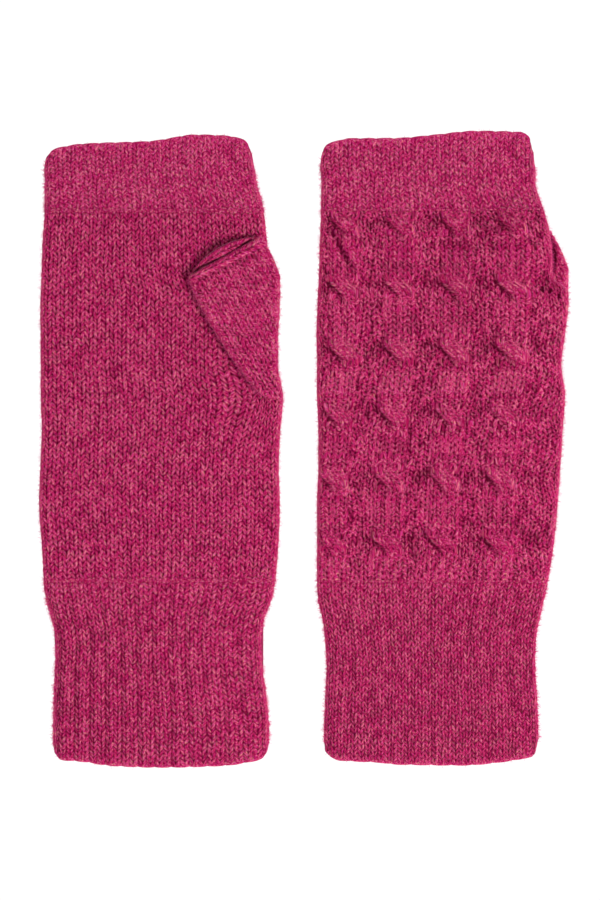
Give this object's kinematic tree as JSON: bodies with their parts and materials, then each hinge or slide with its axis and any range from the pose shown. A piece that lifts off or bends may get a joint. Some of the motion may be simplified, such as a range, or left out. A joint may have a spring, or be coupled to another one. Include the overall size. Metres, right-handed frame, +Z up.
{
  "type": "pair of wrist warmers",
  "caption": "Pair of knitted fingerless wrist warmers laid flat, one palm up and one showing its cabled back, with ribbed cuffs and folded thumbs.",
  "frame": {"origin": "middle of the pair's footprint, on the surface that the pair lies on", "axes": "+Y towards the fingers, +X towards the side on which both thumbs lie, +Z up from the surface"},
  "size_m": [0.2012, 0.2413, 0.0122],
  "materials": {
    "plain_knit": "heathered raspberry wool in plain knitting, matt and slightly fuzzy",
    "cable_knit": "heathered raspberry wool in cable knitting, matt and slightly fuzzy",
    "cuff_rib": "heathered raspberry wool in two-and-one rib, matt and slightly fuzzy",
    "band_rib": "heathered raspberry wool in stretched rib, matt and slightly fuzzy",
    "thumb_knit": "heathered raspberry wool in plain knitting with a bound-off rim, matt and slightly fuzzy"
  },
  "bodies": {
    "root": {"right_cuff": "cuff_rib", "right_palm": "plain_knit", "right_back": "plain_knit", "right_band": "band_rib", "right_thumb": "thumb_knit", "left_cuff": "cuff_rib", "left_palm": "plain_knit", "left_back": "cable_knit", "left_band": "band_rib", "left_thumb": "thumb_knit"}
  },
  "joints": []
}
